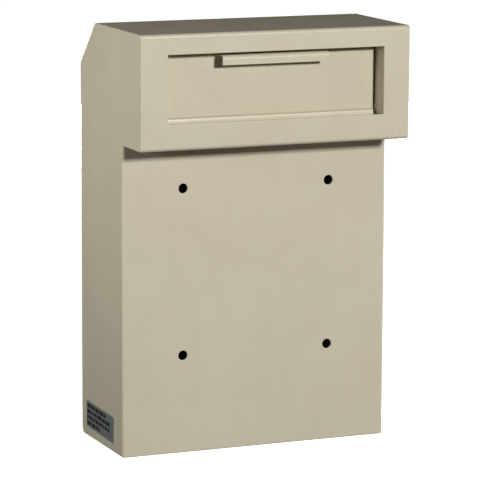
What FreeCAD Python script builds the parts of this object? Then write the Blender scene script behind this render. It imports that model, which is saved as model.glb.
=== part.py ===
import FreeCAD, Part
import math
import os
import Sketcher

# Parcel drop box that bolts to the inner face of a door. Its hood passes through the door,
# and a self-closing hopper in the hood's mouth drops letters, keys and small parcels into
# the box, which is emptied through a locked door in its back.
#
# Outlines are written in the box's own coordinates: X runs across the box from its middle,
# Y runs from the mounting face into the box, and Z runs up from its base. Each piece's
# Placement then brings the middle of the four bolt holes to the origin.

DIMENSIONS = {
    # body and hood
    "box_width": 254,
    "box_depth": 107,
    "box_height": 380,
    "hood_bottom": 279,
    "hood_depth": 46,
    "slope_run": 38.5,
    "metal": 2,
    "thin_metal": 1.5,
    "fold_radius": 3,
    "wide_fold_radius": 6,
    "weld_round": 1,
    # bolt holes in the mounting face
    "bolt_height": 163.5,
    "bolt_spacing_across": 140,
    "bolt_spacing_up": 150,
    "bolt_hole_radius": 4.35,
    "hole_edge_round": 0.5,
    # mouth of the hood
    "mouth_width": 204,
    "mouth_bottom": 302,
    "mouth_top": 362,
    "mouth_edge_round": 0.8,
    "chute_back": 22.5,
    "ear_back": 14,
    "ear_height": 18,
    "flap_stop_drop": 7,
    "floor_drop": 5,
    "sill_end_gap": 3.5,
    "sill_rise": 2.8,
    "sill_flap_gap": 1.5,
    "sill_knee_drop": 2.2,
    "sill_top_lean": 8,
    "sill_foot_lean": 30,
    "sill_fold_radius": 8,
    "sill_edge_round": 0.5,
    # hopper
    "flap_setback": 18,
    "flap_side_gap": 2,
    "flap_top_gap": 2.5,
    "roll_rise": 0.45,
    "rod_radius": 2,
    "rod_clearance": 0.05,
    "rod_end_reach": 6,
    "bush_flange": 1,
    "clip_thickness": 1,
    "clip_groove_depth": 0.5,
    "clip_width": 2,
    "lip_width": 100,
    "lip_reach": 14.5,
    "lip_drop": 8.5,
    "lip_fold_radius": 3.5,
    "tray_angle": 30,
    "tray_length": 85,
    "tray_flange": 18,
    "tray_rise": 5.87,
    "cheek_front_radius": 48.3,
    "cheek_back_radius": 66,
    "cheek_step_angle": 32,
    "baffle_setback": 52,
    "baffle_flange": 13.5,
    "baffle_bottom": 340,
    "baffle_end_gap": 5,
    # back door and the frame it shuts on
    "opening_width": 210,
    "opening_bottom": 23.5,
    "opening_top": 313.5,
    "back_seam_height": 328,
    "door_gap": 1.5,
    "stop_overlap": 9,
    "stop_weld_band": 13,
    "stop_joggle": 3,
    "bumper_radius": 4,
    "bumper_thickness": 1.8,
    "flap_bumper_radius": 3,
    "flap_bumper_inset": 12,
    "door_bumper_inset": 36,
    "channel_width": 24,
    "channel_foot": 10,
    "channel_depth": 8,
    "channel_length": 256,
    # door hinge
    "hinge_length": 277,
    "hinge_axis_out": 3.3,
    "knuckle_count": 11,
    "knuckle_radius": 3,
    "knuckle_gap": 0.3,
    "pin_radius": 1.5,
    "pin_head_radius": 2.2,
    "pin_head_height": 0.8,
    "leaf_metal": 1.2,
    "leaf_width": 10,
    "frame_rivet_inset": 5,
    "door_rivet_inset": 6,
    "rivet_count": 5,
    "rivet_spacing": 62,
    "rivet_radius": 1.6,
    "rivet_head_radius": 2.6,
    "rivet_head_height": 1.1,
    "rivet_shoulder_height": 0.55,
    "rivet_shoulder_radius": 2.2,
    "rivet_crown_radius": 1.2,
    # lock
    "lock_offset": 80,
    "lock_head_radius": 11,
    "lock_head_height": 2.5,
    "lock_barrel_radius": 9.5,
    "lock_flats": 16,
    "lock_barrel_length": 12,
    "plug_radius": 5.95,
    "nut_across_flats": 22,
    "nut_thickness": 4.5,
    "washer_thickness": 1,
    "cam_thickness": 2.4,
    "cam_reach": 27,
    "cam_width": 12,
    "cam_hub_rim": 0.6,
    "washer_rim": 1.5,
    "drive_square": 7,
    "screw_radius": 2.45,
    "screw_length": 5,
    "screw_head_radius": 4.5,
    "screw_head_height": 2.4,
    "screw_slot_half": 0.6,
    "screw_slot_depth": 1.1,
    "plug_recess": 0.4,
    "keyway_inner_radius": 3.1,
    "keyway_outer_radius": 4.2,
    "keyway_depth": 5,
    "keyway_notch_half": 0.9,
    "keyway_notch_start": 3.7,
    "keyway_notch_end": 5.2,
    "lug_height": 2,
    "lug_inset": 1,
    "lug_clear_start": -62,
    "lug_clear_end": 152,
    "strike_clearance": 0.5,
    "strike_rim": 2,
    # label
    "label_length": 70,
    "label_height": 24.5,
    "label_thickness": 0.4,
    "label_setback": 58.5,
    "label_rise": 20.5,
    "label_corner_round": 1.5,
    "label_tilt": 1.2,
}

FINE_GAP = 0.05
ACROSS, INTO, UP = 0, 1, 2


class Size:
    """A number that remembers the spreadsheet formula it comes from."""

    def __init__(self, value, formula):
        self.value = value
        self.formula = formula

    def __add__(self, other):
        other = size_of(other)
        return Size(self.value + other.value, f"({self.formula} + {other.formula})")

    def __sub__(self, other):
        other = size_of(other)
        return Size(self.value - other.value, f"({self.formula} - {other.formula})")

    def __mul__(self, other):
        other = size_of(other)
        return Size(self.value * other.value, f"({self.formula} * {other.formula})")

    def __truediv__(self, other):
        other = size_of(other)
        return Size(self.value / other.value, f"({self.formula} / {other.formula})")

    def __radd__(self, other):
        return size_of(other) + self

    def __rsub__(self, other):
        return size_of(other) - self

    def __rmul__(self, other):
        return size_of(other) * self

    def __neg__(self):
        return Size(-self.value, f"(-{self.formula})")


class Dimensions:
    """The driving dimensions, kept in the document's spreadsheet and read by name."""

    def __init__(self, document, rows):
        self.rows = rows
        sheet = document.addObject("Spreadsheet::Sheet", "Dims")
        for row, (alias, value) in enumerate(rows.items(), start=1):
            sheet.set(f"A{row}", alias)
            sheet.set(f"B{row}", str(value))
            sheet.setAlias(f"B{row}", alias)

    def __getattr__(self, alias):
        return Size(float(self.rows[alias]), f"Dims.{alias}")


def size_of(value):
    """Any number as a Size."""
    if isinstance(value, Size):
        return value
    return Size(float(value), f"({value})")


def cosine(angle):
    angle = size_of(angle)
    return Size(math.cos(math.radians(angle.value)), f"cos({angle.formula})")


def sine(angle):
    angle = size_of(angle)
    return Size(math.sin(math.radians(angle.value)), f"sin({angle.formula})")


def tangent(angle):
    return sine(angle) / cosine(angle)


document = FreeCAD.newDocument("ParcelDropBox")
D = Dimensions(document, DIMENSIONS)
document.recompute()
pieces = []

# Places that several pieces share.
half_width = D.box_width / 2
inner_half = half_width - D.metal
hood_face = -D.hood_depth
half_mouth = D.mouth_width / 2
half_opening = D.opening_width / 2
back_inside = D.box_depth - D.metal
slope_foot = D.box_height - D.slope_run
slope_head = D.box_depth - D.slope_run
fold_inset = D.metal * tangent(22.5)
flap_front = hood_face + D.flap_setback
flap_back = flap_front + D.thin_metal
flap_half = half_mouth - D.flap_side_gap
flap_top = D.mouth_top - D.flap_top_gap
barrel_bore = D.rod_radius + D.rod_clearance
barrel_radius = barrel_bore + D.thin_metal
rod_y = flap_front + barrel_radius
rod_z = D.mouth_bottom + D.roll_rise + barrel_radius
stop_back = -D.chute_back
stop_front = stop_back - D.metal
stop_bottom = D.mouth_top - D.flap_stop_drop
band_outer_face = back_inside - D.metal
band_inner_face = band_outer_face - D.metal
door_half = half_opening - D.door_gap
door_bottom = D.opening_bottom + D.door_gap
door_top = D.opening_top - D.door_gap
door_middle = (D.opening_bottom + D.opening_top) / 2
hinge_x = -half_opening
hinge_y = D.box_depth + D.hinge_axis_out
hinge_bottom = door_middle - D.hinge_length / 2
knuckle_pitch = D.hinge_length / D.knuckle_count
lock_x = D.lock_offset
lock_z = door_middle
lock_back = D.box_depth - D.lock_barrel_length
cam_front = lock_back - 4 * FINE_GAP
cam_back = cam_front - D.cam_thickness
bush_radius = D.rod_radius + D.thin_metal
clip_groove_radius = D.rod_radius - D.clip_groove_depth
frame_rivet_x = hinge_x - D.knuckle_radius - D.knuckle_gap - D.frame_rivet_inset
door_rivet_x = hinge_x + D.knuckle_radius + D.knuckle_gap + D.door_rivet_inset


def new_body(name):
    """An empty PartDesign body, placed so that the bolt pattern's middle is the origin."""
    body = document.addObject("PartDesign::Body", name)
    body.Label = name
    body.setExpression("Placement.Base.z", (-D.bolt_height).formula)
    pieces.append(body)
    return body


def new_sketch(body, plane, start):
    """An empty sketch on an origin plane of the body, moved to start along that plane's axis.

    The XZ plane faces towards -Y, so its offset is turned round.
    """
    sketch = body.newObject("Sketcher::SketchObject", f"{body.Name}_sketch")
    origin_plane = next(f for f in body.Origin.OriginFeatures if f.Role == f"{plane}_Plane")
    sketch.AttachmentSupport = (origin_plane, "")
    sketch.MapMode = "FlatFace"
    offset = -start if plane == "XZ" else size_of(start)
    sketch.setExpression("AttachmentOffset.Base.z", offset.formula)
    return sketch


def hold_point(sketch, element, point, place):
    """Ties a sketch point to its two coordinates, as formulas."""
    for direction, distance in zip(("DistanceX", "DistanceY"), place):
        distance = size_of(distance)
        constraint = Sketcher.Constraint(direction, -1, 1, element, point, distance.value)
        index = sketch.addConstraint(constraint)
        sketch.setExpression(f"Constraints[{index}]", distance.formula)


def polygon(*corners):
    """A closed outline of straight edges through the corners."""
    def draw(sketch):
        spots = [FreeCAD.Vector(size_of(a).value, size_of(b).value, 0) for a, b in corners]
        first = sketch.GeometryCount
        count = len(spots)
        for index, spot in enumerate(spots):
            sketch.addGeometry(Part.LineSegment(spot, spots[(index + 1) % count]), False)
        for index in range(count):
            following = first + (index + 1) % count
            sketch.addConstraint(Sketcher.Constraint("Coincident", first + index, 2, following, 1))
        for index, corner in enumerate(corners):
            hold_point(sketch, first + index, 1, corner)
    return draw


def rectangle(left, right, bottom, top):
    return polygon((left, bottom), (right, bottom), (right, top), (left, top))


def circle(centre_a, centre_b, radius):
    """A full circle, held by its centre and its radius."""
    def draw(sketch):
        radius_size = size_of(radius)
        middle = FreeCAD.Vector(size_of(centre_a).value, size_of(centre_b).value, 0)
        axis = FreeCAD.Vector(0, 0, 1)
        index = sketch.addGeometry(Part.Circle(middle, axis, radius_size.value), False)
        hold_point(sketch, index, 3, (centre_a, centre_b))
        constraint = sketch.addConstraint(Sketcher.Constraint("Radius", index, radius_size.value))
        sketch.setExpression(f"Constraints[{constraint}]", radius_size.formula)
    return draw


def add_feature(body, kind, plane, start, length, outlines):
    sketch = new_sketch(body, plane, start)
    for outline in outlines:
        outline(sketch)
    feature = body.newObject(f"PartDesign::{kind}", f"{body.Name}_{kind.lower()}")
    feature.Profile = sketch
    feature.setExpression("Length", length.formula)
    sketch.Visibility = False
    return feature


def pad(body, plane, low, high, *outlines):
    """Adds metal between low and high, measured along the axis that the plane faces."""
    low, high = size_of(low), size_of(high)
    start = high if plane == "XZ" else low
    return add_feature(body, "Pad", plane, start, high - low, outlines)


def pocket(body, plane, low, high, *outlines):
    """Cuts the outlines away between low and high."""
    low, high = size_of(low), size_of(high)
    start = low if plane == "XZ" else high
    return add_feature(body, "Pocket", plane, start, high - low, outlines)


def edges_along(shape, axis, places):
    """Names of the straight edges along an axis whose other two coordinates are in places."""
    wanted = [[size_of(value).value for value in place] for place in places]
    names = []
    for number, edge in enumerate(shape.Edges, start=1):
        if len(edge.Vertexes) != 2 or not isinstance(edge.Curve, Part.Line):
            continue
        ends = [list(vertex.Point) for vertex in edge.Vertexes]
        if abs(ends[1][axis] - ends[0][axis]) < edge.Length - 1e-6:
            continue
        here = [value for index, value in enumerate(ends[0]) if index != axis]
        if any(math.dist(here, place) < 1e-3 for place in wanted):
            names.append(f"Edge{number}")
    return names


def edges_on_sides(shape, level):
    """Names of the edges that lie wholly in the planes at level, left and right of the middle."""
    names = []
    for number, edge in enumerate(shape.Edges, start=1):
        middle = edge.valueAt((edge.FirstParameter + edge.LastParameter) / 2)
        spots = [middle, *[vertex.Point for vertex in edge.Vertexes]]
        if all(abs(abs(spot.x) - size_of(level).value) < 1e-6 for spot in spots):
            names.append(f"Edge{number}")
    return names


def rims_at(shape, level):
    """Names of the circular edges that face into the box at a depth."""
    return [
        f"Edge{number}" for number, edge in enumerate(shape.Edges, start=1)
        if isinstance(edge.Curve, Part.Circle)
        and abs(edge.Curve.Center[INTO] - size_of(level).value) < 1e-6]


def dress(body, kind, length_name, length, find_edges):
    """A fillet or chamfer on the edges that find_edges picks from the body's shape."""
    document.recompute()
    base = body.Tip
    feature = body.newObject(f"PartDesign::{kind}", f"{body.Name}_{kind.lower()}")
    feature.Base = (base, find_edges(base.Shape))
    feature.setExpression(length_name, size_of(length).formula)


def fillet(body, radius, *edge_sets):
    """Rounds the straight edges that the (axis, places) sets name."""
    def find(shape):
        return [name for axis, places in edge_sets for name in edges_along(shape, axis, places)]
    dress(body, "Fillet", "Radius", radius, find)


def mirrored_places(across, other):
    """The same edge on the left and on the right of the box."""
    return [(across, other), (-across, other)]


def rivet_heights():
    """Heights of the rivets along the hinge, spread about the door's middle."""
    count = DIMENSIONS["rivet_count"]
    return [door_middle + (index - (count - 1) / 2) * D.rivet_spacing for index in range(count)]


def rivet_holes(across):
    return [circle(across, height, D.rivet_radius) for height in rivet_heights()]


# ---------------------------------------------------------------- box shell


def make_front_side_wrap():
    """Front plate and both side panels, folded from one sheet."""
    body = new_body("front_side_wrap")
    pad(body, "YZ", -half_width, half_width, polygon(
        (0, 0),
        (D.box_depth, 0),
        (D.box_depth, slope_foot),
        (slope_head, D.box_height),
        (hood_face, D.box_height),
        (hood_face, D.hood_bottom),
        (0, D.hood_bottom)))
    slope_corners = [(D.box_depth, 0), (D.box_depth, slope_foot), (slope_head, D.box_height)]
    fillet(body, D.wide_fold_radius, (ACROSS, slope_corners))
    hood_corners = [(hood_face, D.box_height), (hood_face, D.hood_bottom)]
    fillet(body, D.fold_radius, (ACROSS, hood_corners), (UP, mirrored_places(half_width, 0)))
    clear = 20
    pocket(body, "YZ", -inner_half, inner_half, polygon(
        (D.metal, -clear),
        (D.box_depth + clear, -clear),
        (D.box_depth + clear, D.box_height + clear),
        (hood_face - clear, D.box_height + clear),
        (hood_face - clear, D.hood_bottom - clear),
        (0, D.hood_bottom - clear),
        (0, D.hood_bottom + D.metal),
        (D.metal, D.hood_bottom + D.metal)))
    fillet(body, D.fold_radius - D.metal, (UP, mirrored_places(inner_half, D.metal)))
    low_bolts = D.bolt_height - D.bolt_spacing_up / 2
    high_bolts = D.bolt_height + D.bolt_spacing_up / 2
    across = D.bolt_spacing_across / 2
    pocket(body, "XZ", -1, D.metal + 1, *[
        circle(side * across, height, D.bolt_hole_radius)
        for side in (-1, 1)
        for height in (low_bolts, high_bolts)])
    dress(body, "Fillet", "Radius", D.hole_edge_round, lambda shape: rims_at(shape, 0))
    dress(body, "Fillet", "Radius", D.weld_round,
          lambda shape: edges_on_sides(shape, half_width))


def make_hood_wrap():
    """Strip folded round the hood: its underside, face, roof, slope and the top of the back."""
    body = new_body("hood_wrap")
    face_inside = hood_face + D.metal
    roof_inside = D.box_height - D.metal
    underside_top = D.hood_bottom + D.metal
    slope_corners = [(slope_head, D.box_height), (D.box_depth, slope_foot)]
    slope_insides = [(slope_head - fold_inset, roof_inside), (back_inside, slope_foot - fold_inset)]
    pad(body, "YZ", -inner_half, inner_half, polygon(
        (0, D.hood_bottom),
        (hood_face, D.hood_bottom),
        (hood_face, D.box_height),
        *slope_corners,
        (D.box_depth, D.back_seam_height),
        (back_inside, D.back_seam_height),
        *reversed(slope_insides),
        (face_inside, roof_inside),
        (face_inside, underside_top),
        (0, underside_top)))
    fillet(body, D.wide_fold_radius, (ACROSS, slope_corners))
    fillet(body, D.wide_fold_radius - D.metal, (ACROSS, slope_insides))
    hood_corners = [(hood_face, D.hood_bottom), (hood_face, D.box_height)]
    hood_insides = [(face_inside, underside_top), (face_inside, roof_inside)]
    fillet(body, D.fold_radius, (ACROSS, hood_corners))
    fillet(body, D.fold_radius - D.metal, (ACROSS, hood_insides))
    pocket(body, "XZ", hood_face - 1, face_inside + 1,
           rectangle(-half_mouth, half_mouth, D.mouth_bottom, D.mouth_top))
    mouth_levels = [(hood_face, D.mouth_bottom), (hood_face, D.mouth_top)]
    mouth_sides = mirrored_places(half_mouth, hood_face)
    fillet(body, D.mouth_edge_round, (ACROSS, mouth_levels), (UP, mouth_sides))


def make_rear_wrap():
    """Bottom and back, folded from one sheet, with the opening for the back door."""
    body = new_body("rear_wrap")
    pad(body, "YZ", -inner_half, inner_half, polygon(
        (D.metal, 0),
        (D.box_depth, 0),
        (D.box_depth, D.back_seam_height),
        (back_inside, D.back_seam_height),
        (back_inside, D.metal),
        (D.metal, D.metal)))
    fillet(body, D.wide_fold_radius, (ACROSS, [(D.box_depth, 0)]))
    fillet(body, D.wide_fold_radius - D.metal, (ACROSS, [(back_inside, D.metal)]))
    fillet(body, D.fold_radius - D.metal, (UP, mirrored_places(inner_half, D.metal)))
    pocket(body, "XZ", back_inside - 1, D.box_depth + 1,
           rectangle(-half_opening, half_opening, D.opening_bottom, D.opening_top),
           *rivet_holes(frame_rivet_x))


def make_chute_frame():
    """Lining of the mouth, with ears that carry the hopper rod and a lip that stops the flap.

    Its floor lies below the mouth. The sill is a folded strip on that floor, short of the
    side walls. It leans back over the flap's rolled edge to keep rain off the rod.
    """
    body = new_body("chute_frame")
    outer_half = half_mouth + D.metal
    face_inside = hood_face + D.metal
    floor_top = D.mouth_bottom - D.floor_drop
    pad(body, "XZ", face_inside, stop_back,
        rectangle(-outer_half, outer_half, floor_top - D.metal, D.mouth_top + D.metal),
        rectangle(-half_mouth, half_mouth, floor_top, D.mouth_top))
    sill_half = half_mouth - D.sill_end_gap
    sill_top = D.mouth_bottom + D.sill_rise
    sill_knee = sill_top - D.sill_knee_drop
    top_back = flap_front - D.sill_flap_gap
    knee_back = top_back - D.sill_knee_drop * tangent(D.sill_top_lean)
    foot_back = knee_back - (sill_knee - floor_top) * tangent(D.sill_foot_lean)
    sill_backs = [(top_back, sill_top), (knee_back, sill_knee), (foot_back, floor_top)]
    sill_fronts = [(back - D.metal, height) for back, height in sill_backs]
    pad(body, "YZ", -sill_half, sill_half, polygon(*sill_backs, *reversed(sill_fronts)))
    fillet(body, D.sill_fold_radius, (ACROSS, [sill_backs[1], sill_fronts[1]]))
    fillet(body, D.sill_edge_round, (ACROSS, [sill_backs[0], sill_fronts[0]]))
    outer_bottom = D.mouth_bottom - D.metal
    ear_top = D.mouth_bottom + D.ear_height
    ear_slope = D.chute_back - D.ear_back
    for low, high in ((-outer_half, -half_mouth), (half_mouth, outer_half)):
        pad(body, "YZ", low, high, polygon(
            (stop_back, outer_bottom),
            (-D.ear_back, outer_bottom),
            (-D.ear_back, ear_top),
            (stop_back, ear_top + ear_slope)))
    pad(body, "YZ", -half_mouth, half_mouth,
        rectangle(stop_front, stop_back, stop_bottom, D.mouth_top))
    pocket(body, "YZ", -outer_half - 1, outer_half + 1, circle(rod_y, rod_z, bush_radius))


def make_upper_baffle():
    """Plate that hangs from the roof, so that the raised tray leaves no way past it."""
    body = new_body("upper_baffle")
    roof_inside = D.box_height - D.metal
    leaf_back = D.baffle_setback + D.thin_metal
    flange_bottom = roof_inside - D.thin_metal
    flange_back = D.baffle_setback + D.baffle_flange
    half_baffle = inner_half - D.baffle_end_gap
    pad(body, "YZ", -half_baffle, half_baffle, polygon(
        (D.baffle_setback, D.baffle_bottom),
        (leaf_back, D.baffle_bottom),
        (leaf_back, flange_bottom),
        (flange_back, flange_bottom),
        (flange_back, roof_inside),
        (D.baffle_setback, roof_inside)))
    fillet(body, D.fold_radius, (ACROSS, [(D.baffle_setback, roof_inside)]))
    fillet(body, D.thin_metal, (ACROSS, [(leaf_back, flange_bottom)]))


def make_label_plate():
    """Small plate stuck to the left side, a little crooked."""
    body = new_body("label_plate")
    half_length = D.label_length / 2
    half_height = D.label_height / 2
    pad(body, "YZ", 0, D.label_thickness,
        rectangle(-half_length, half_length, -half_height, half_height))
    corners = [(y, z) for y in (-half_length, half_length) for z in (-half_height, half_height)]
    fillet(body, D.label_corner_round, (ACROSS, corners))
    body.Placement = FreeCAD.Placement(
        FreeCAD.Vector(0, 0, 0), FreeCAD.Rotation(FreeCAD.Vector(1, 0, 0), 1))
    body.setExpression("Placement.Base.x", (-half_width - D.label_thickness).formula)
    body.setExpression("Placement.Base.y", D.label_setback.formula)
    body.setExpression("Placement.Base.z", (D.label_rise - D.bolt_height).formula)
    body.setExpression("Placement.Rotation.Angle", D.label_tilt.formula)


# ---------------------------------------------------------------- hopper


def make_hopper_rod():
    """Rod that the flap's rolled edge turns on, with a groove near each end."""
    body = new_body("hopper_rod")
    rod_end = half_mouth + D.rod_end_reach
    pad(body, "YZ", -rod_end, rod_end, circle(rod_y, rod_z, D.rod_radius))
    for low, high in clip_spans():
        pocket(body, "YZ", low, high, *ring(rod_y, rod_z, clip_groove_radius, D.rod_radius + 1))


def make_rod_clips():
    """The two clips in the rod's grooves, outside the ears."""
    body = new_body("rod_clips")
    for low, high in clip_spans():
        clip_radius = D.rod_radius + D.clip_width
        half_mouth_of_clip = clip_groove_radius - D.clip_groove_depth
        pad(body, "YZ", low, high, *ring(rod_y, rod_z, clip_groove_radius, clip_radius))
        pocket(body, "YZ", low, high, rectangle(
            rod_y - half_mouth_of_clip, rod_y + half_mouth_of_clip,
            rod_z - clip_radius - 1, rod_z - clip_groove_radius / 2))


def make_rod_bushes():
    """The two flanged bushes in the ears, which also keep the flap in the middle."""
    body = new_body("rod_bushes")
    outer_half = half_mouth + D.metal
    flange_face = half_mouth - D.bush_flange
    flange_radius = rod_z - D.mouth_bottom - 2 * FINE_GAP
    for side in (-1, 1):
        barrel = sorted((side * half_mouth, side * outer_half), key=lambda place: place.value)
        flange = sorted((side * flange_face, side * half_mouth), key=lambda place: place.value)
        pad(body, "YZ", *barrel, *ring(rod_y, rod_z, D.rod_radius, bush_radius))
        pad(body, "YZ", *flange, *ring(rod_y, rod_z, D.rod_radius, flange_radius))


def clip_spans():
    """Where the clips lie along the rod, on the right and on the left."""
    near = half_mouth + D.metal + 2 * FINE_GAP
    far = near + D.clip_thickness
    return [(near, far), (-far, -near)]


def ring(centre_a, centre_b, inner_radius, outer_radius):
    return [circle(centre_a, centre_b, outer_radius), circle(centre_a, centre_b, inner_radius)]


def make_flap_bumpers():
    """Rubber buttons on the stop lip, which the flap's top edge closes on."""
    body = new_body("flap_bumpers")
    height = stop_bottom + D.flap_stop_drop / 2
    across = half_mouth - D.flap_bumper_inset
    pad(body, "XZ", stop_front - D.bumper_thickness, stop_front, *[
        circle(side * across, height, D.flap_bumper_radius) for side in (-1, 1)])


def make_hopper_flap():
    """Flap with its lower edge rolled round the rod and its top edge folded into a pull lip."""
    body = new_body("hopper_flap")
    pad(body, "YZ", -flap_half, flap_half, rectangle(flap_front, flap_back, rod_z, flap_top))
    pad(body, "YZ", -flap_half, flap_half, circle(rod_y, rod_z, barrel_radius))
    lip_face = flap_front - D.lip_reach
    lip_bottom = flap_top - D.lip_drop
    pad(body, "YZ", -D.lip_width / 2, D.lip_width / 2, polygon(
        (flap_back, flap_top),
        (lip_face, flap_top),
        (lip_face, lip_bottom),
        (lip_face + D.thin_metal, lip_bottom),
        (lip_face + D.thin_metal, flap_top - D.thin_metal),
        (flap_back, flap_top - D.thin_metal)))
    fillet(body, D.lip_fold_radius, (ACROSS, [(lip_face, flap_top)]))
    fillet(body, D.lip_fold_radius - D.thin_metal,
           (ACROSS, [(lip_face + D.thin_metal, flap_top - D.thin_metal),
                     (flap_front, flap_top - D.thin_metal)]))
    pocket(body, "YZ", -flap_half, flap_half, circle(rod_y, rod_z, barrel_bore))


def tray_underside(distance):
    """Point on the underside of the tray, at a distance from its bend."""
    return (flap_back + distance * cosine(D.tray_angle),
            rod_z + D.tray_rise - distance * sine(D.tray_angle))


def make_hopper_tray():
    """Tray that carries what is put in, and drops it as the flap closes."""
    body = new_body("hopper_tray")
    inner_face = flap_back + D.thin_metal
    tip = tray_underside(D.tray_length)
    tip_top = (tip[0] + D.thin_metal * sine(D.tray_angle),
               tip[1] + D.thin_metal * cosine(D.tray_angle))
    bend = tray_underside(size_of(0))
    bend_top = (inner_face, tip_top[1] + (tip_top[0] - inner_face) * tangent(D.tray_angle))
    flange_top = bend[1] + D.tray_flange
    half_tray = flap_half - D.thin_metal
    pad(body, "YZ", -half_tray, half_tray, polygon(
        bend, tip, tip_top, bend_top, (inner_face, flange_top), (flap_back, flange_top)))
    fillet(body, D.thin_metal, (ACROSS, [bend_top]))


def make_hopper_cheek(name, low, high):
    """Side plate of the hopper: a small sector in front and a large one behind.

    The step between the two sectors meets the stop lip when the hopper is wide open.
    """
    body = new_body(name)
    far = 2 * D.cheek_back_radius
    step = D.cheek_step_angle
    bend = tray_underside(size_of(0))
    tray_end = tray_underside(far)
    pad(body, "YZ", low, high, circle(rod_y, rod_z, D.cheek_back_radius))
    pocket(body, "YZ", low - 1, high + 1, polygon(
        (rod_y, rod_z),
        (rod_y + far * cosine(step), rod_z + far * sine(step)),
        (rod_y + far * cosine(step), rod_z + far),
        (rod_y - far, rod_z + far),
        (rod_y - far, rod_z - far),
        (rod_y, rod_z - far)))
    pad(body, "YZ", low, high, circle(rod_y, rod_z, D.cheek_front_radius))
    pocket(body, "YZ", low - 1, high + 1, polygon(
        (flap_back, rod_z + far),
        bend,
        tray_end,
        (tray_end[0], rod_z - far),
        (rod_y - far, rod_z - far),
        (rod_y - far, rod_z + far)))


# ---------------------------------------------------------------- back door


def make_door_stop_frame():
    """Joggled frame welded inside the back, which the door shuts on."""
    body = new_body("door_stop_frame")

    def band(inner, outer):
        return [
            rectangle(-half_opening - edge, half_opening + edge,
                      D.opening_bottom - edge, D.opening_top + edge)
            for edge in (size_of(outer), size_of(inner))]

    pad(body, "XZ", band_outer_face, back_inside, *band(D.door_gap, D.stop_weld_band))
    pad(body, "XZ", band_inner_face, band_outer_face, *band(-D.stop_overlap, D.stop_joggle))
    pocket(body, "XZ", band_outer_face - 1, back_inside + 1, *rivet_holes(frame_rivet_x))


def make_door_bumpers():
    """Rubber buttons at the corners of the stop frame."""
    body = new_body("door_bumpers")
    across = half_opening - D.stop_overlap / 2
    heights = (D.opening_bottom + D.door_bumper_inset, D.opening_top - D.door_bumper_inset)
    pad(body, "XZ", band_outer_face, band_outer_face + D.bumper_thickness, *[
        circle(side * across, height, D.bumper_radius)
        for side in (-1, 1)
        for height in heights])


def make_rear_door():
    """Plain door sheet, flush with the back, with a flatted hole for the lock."""
    body = new_body("rear_door")
    pad(body, "XZ", back_inside, D.box_depth,
        rectangle(-door_half, door_half, door_bottom, door_top))
    corners = [(x, z) for x in (-door_half, door_half) for z in (door_bottom, door_top)]
    fillet(body, D.weld_round, (INTO, corners))
    pocket(body, "XZ", back_inside - 1, D.box_depth + 1, *rivet_holes(door_rivet_x))
    hole_radius = D.lock_barrel_radius + 2 * FINE_GAP
    half_flat = D.lock_flats / 2 + 2 * FINE_GAP
    pocket(body, "XZ", back_inside - 1, D.box_depth + 1, circle(lock_x, lock_z, hole_radius))
    for side in (-1, 1):
        edges = sorted((lock_x + side * half_flat, lock_x + side * (hole_radius + 1)),
                       key=lambda place: place.value)
        pad(body, "XZ", back_inside, D.box_depth,
            rectangle(*edges, lock_z - hole_radius, lock_z + hole_radius))


def make_door_stiffener():
    """Top-hat channel welded down the middle of the door's inner face."""
    body = new_body("door_stiffener")
    half_crown = D.channel_width / 2
    half_foot = half_crown + D.channel_foot
    crown = back_inside - D.channel_depth
    foot = back_inside - D.thin_metal
    pad(body, "XY", door_middle - D.channel_length / 2, door_middle + D.channel_length / 2,
        polygon(
            (-half_foot, back_inside),
            (-half_foot, foot),
            (-half_crown, foot),
            (-half_crown, crown),
            (half_crown, crown),
            (half_crown, foot),
            (half_foot, foot),
            (half_foot, back_inside),
            (half_crown - D.thin_metal, back_inside),
            (half_crown - D.thin_metal, crown + D.thin_metal),
            (D.thin_metal - half_crown, crown + D.thin_metal),
            (D.thin_metal - half_crown, back_inside)))
    fillet(body, D.fold_radius, (UP, mirrored_places(half_crown, crown)))


def pattern_along_z(body, features, length, count):
    """Repeats features upwards, count times over a length."""
    pattern = body.newObject("PartDesign::LinearPattern", f"{body.Name}_pattern")
    pattern.Originals = features
    up_axis = next(f for f in body.Origin.OriginFeatures if f.Role == "Z_Axis")
    pattern.Direction = (up_axis, [""])
    pattern.setExpression("Length", length.formula)
    pattern.Occurrences = count
    body.Tip = pattern


def make_hinge_leaf(name, side, first_knuckle, knuckles):
    """One leaf of the continuous hinge: a strip, and its share of the knuckles.

    side is -1 for the leaf on the frame and 1 for the leaf on the door.
    """
    body = new_body(name)
    near = hinge_x + side * (D.knuckle_radius + D.knuckle_gap)
    far = near + side * D.leaf_width
    leaf_top = D.box_depth + D.leaf_metal
    hinge_top = hinge_bottom + D.hinge_length
    left, right = sorted((near, far), key=lambda place: place.value)
    pad(body, "XY", hinge_bottom, hinge_top, rectangle(left, right, D.box_depth, leaf_top))
    low = hinge_bottom + first_knuckle * knuckle_pitch + D.knuckle_gap / 2
    high = low + knuckle_pitch - D.knuckle_gap
    left, right = sorted((near, hinge_x), key=lambda place: place.value)
    tab = pad(body, "XY", low, high, rectangle(left, right, D.box_depth, leaf_top))
    barrel = pad(body, "XY", low, high, circle(hinge_x, hinge_y, D.knuckle_radius))
    pattern_along_z(body, [tab, barrel], 2 * (knuckles - 1) * knuckle_pitch, knuckles)
    pocket(body, "XY", hinge_bottom - 1, hinge_top + 1,
           circle(hinge_x, hinge_y, D.pin_radius + FINE_GAP))
    rivet_x = frame_rivet_x if side < 0 else door_rivet_x
    pocket(body, "XZ", D.box_depth - 1, leaf_top + 1, *rivet_holes(rivet_x))


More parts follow.
